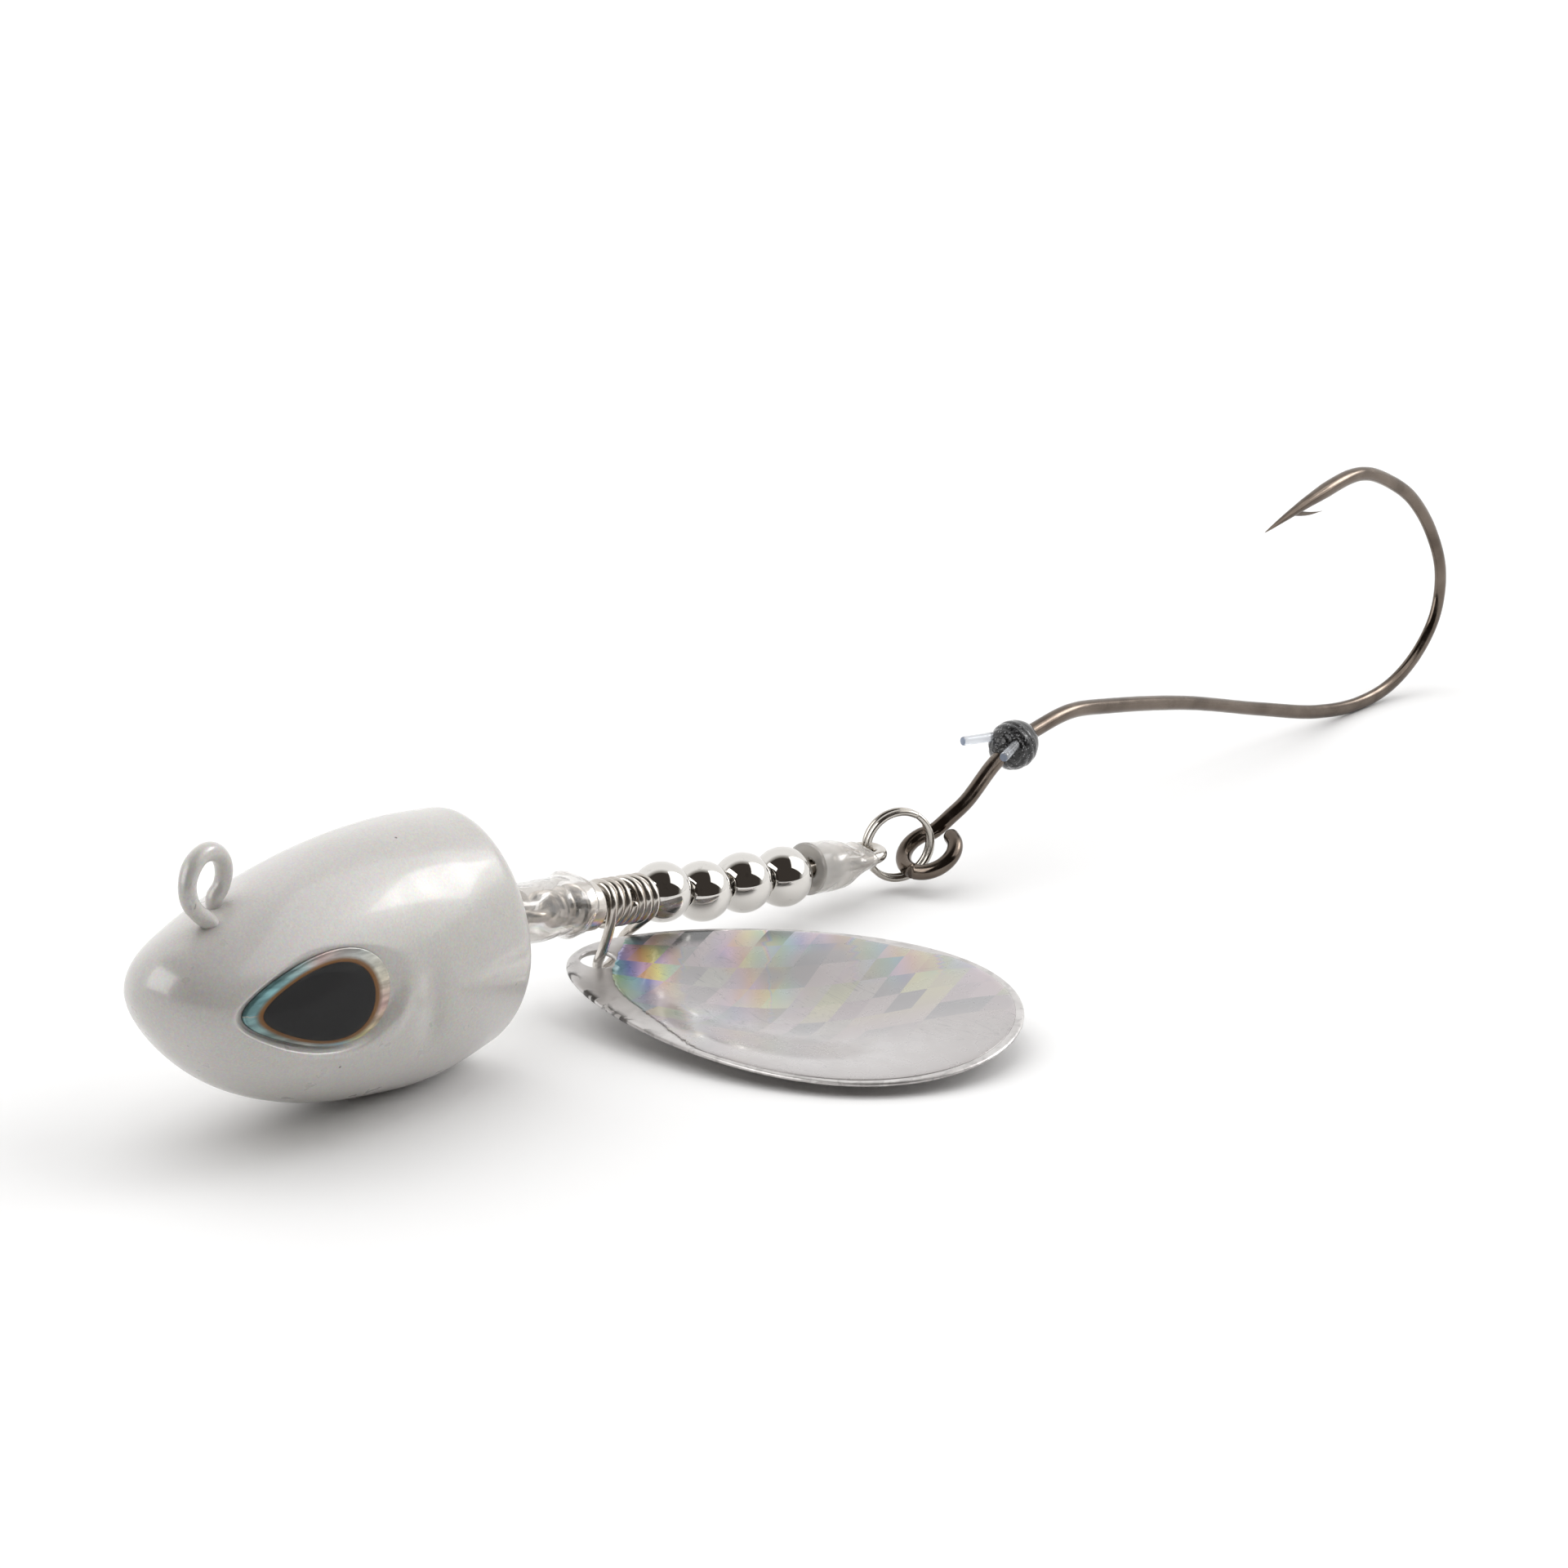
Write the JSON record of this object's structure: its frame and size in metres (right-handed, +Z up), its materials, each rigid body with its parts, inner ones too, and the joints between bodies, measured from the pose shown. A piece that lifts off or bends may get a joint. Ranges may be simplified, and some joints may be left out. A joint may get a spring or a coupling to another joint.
{
  "type": "spinnerbait",
  "caption": "Tail-spinner jig: painted fish head linked by wire eyes to a beaded shaft with a spinning blade and a trailing single hook.",
  "frame": {"origin": "middle of the small flat under the head that the lure rests on", "axes": "+X from the nose to the hook, +Z up through the line tie, the blade lies towards -Y"},
  "size_m": [0.1261, 0.035, 0.0194],
  "materials": {
    "pearl_paint": "glossy pearl-white lacquer",
    "bare_wire": "bright drawn stainless wire",
    "chrome_bead": "mirror chrome",
    "clear_tube": "clear shrink tube",
    "iris_foil": "holographic printed foil",
    "clear_resin": "clear domed resin",
    "blade_metal": "polished nickel",
    "prism_tape": "holographic prism film",
    "black_nickel": "glossy black nickel",
    "black_thread": "resin-coated tying thread",
    "clear_nylon": "clear nylon monofilament"
  },
  "bodies": {
    "head": {"head_casting": "pearl_paint", "head_wire": "bare_wire", "eye_foil_left": "iris_foil", "eye_foil_right": "iris_foil", "eye_dome_left": "clear_resin", "eye_dome_right": "clear_resin"},
    "shaft": {"shaft_wire": "bare_wire", "front_tube": "clear_tube", "rear_tube": "clear_tube"},
    "sleeve": {"sleeve": "bare_wire"},
    "clevis": {"clevis": "bare_wire"},
    "blade": {"blade": "blade_metal", "blade_tape": "prism_tape"},
    "bead_1": {"bead_1": "chrome_bead"},
    "bead_2": {"bead_2": "chrome_bead"},
    "bead_3": {"bead_3": "chrome_bead"},
    "bead_4": {"bead_4": "chrome_bead"},
    "ring": {"split_ring": "bare_wire"},
    "hook": {"hook": "black_nickel", "keeper_wrap": "black_thread", "keeper_spike_left": "clear_nylon", "keeper_spike_right": "clear_nylon"}
  },
  "joints": [
    {"name": "shaft_flex", "type": "hinge", "parent": "head", "child": "shaft", "pos_m": [0.0107, 0, 0.0076], "axis": [0, 1, 0], "range_deg": [-20, 15], "stiffness_Nm_per_rad": 0.05, "deforming": ["front_tube"]},
    {"name": "sleeve_spin", "type": "hinge", "parent": "shaft", "child": "sleeve", "pos_m": [0.01067, 0, 0.0074], "axis": [0.9874, 0, -0.1582], "continuous": true},
    {"name": "clevis_spin", "type": "hinge", "parent": "shaft", "child": "clevis", "pos_m": [0.01067, 0, 0.0074], "axis": [0.9874, 0, -0.1582], "continuous": true},
    {"name": "bead_1_spin", "type": "hinge", "parent": "shaft", "child": "bead_1", "pos_m": [0.01069, 0, 0.00755], "axis": [0.9874, 0, -0.1582], "continuous": true},
    {"name": "bead_2_spin", "type": "hinge", "parent": "shaft", "child": "bead_2", "pos_m": [0.01064, 0, 0.0072], "axis": [0.9874, 0, -0.1582], "continuous": true},
    {"name": "bead_3_spin", "type": "hinge", "parent": "shaft", "child": "bead_3", "pos_m": [0.01066, 0, 0.00734], "axis": [0.9874, 0, -0.1582], "continuous": true},
    {"name": "bead_4_spin", "type": "hinge", "parent": "shaft", "child": "bead_4", "pos_m": [0.01066, 0, 0.00732], "axis": [0.9874, 0, -0.1582], "continuous": true},
    {"name": "blade_swing", "type": "hinge", "parent": "clevis", "child": "blade", "pos_m": [0.0177, -0.0003, 0.00277], "axis": [-0.0984, 0.1476, 0.9841], "range_deg": [-60, 0]},
    {"name": "ring_swing", "type": "hinge", "parent": "shaft", "child": "ring", "pos_m": [0.0441, -0.00005, 0.0027], "axis": [0, 0, 1], "range_deg": [-25, 30]},
    {"name": "hook_swing", "type": "hinge", "parent": "ring", "child": "hook", "pos_m": [0.04797, -0.00199, 0.00262], "axis": [0, 1, 0], "range_deg": [0, 60]}
  ]
}
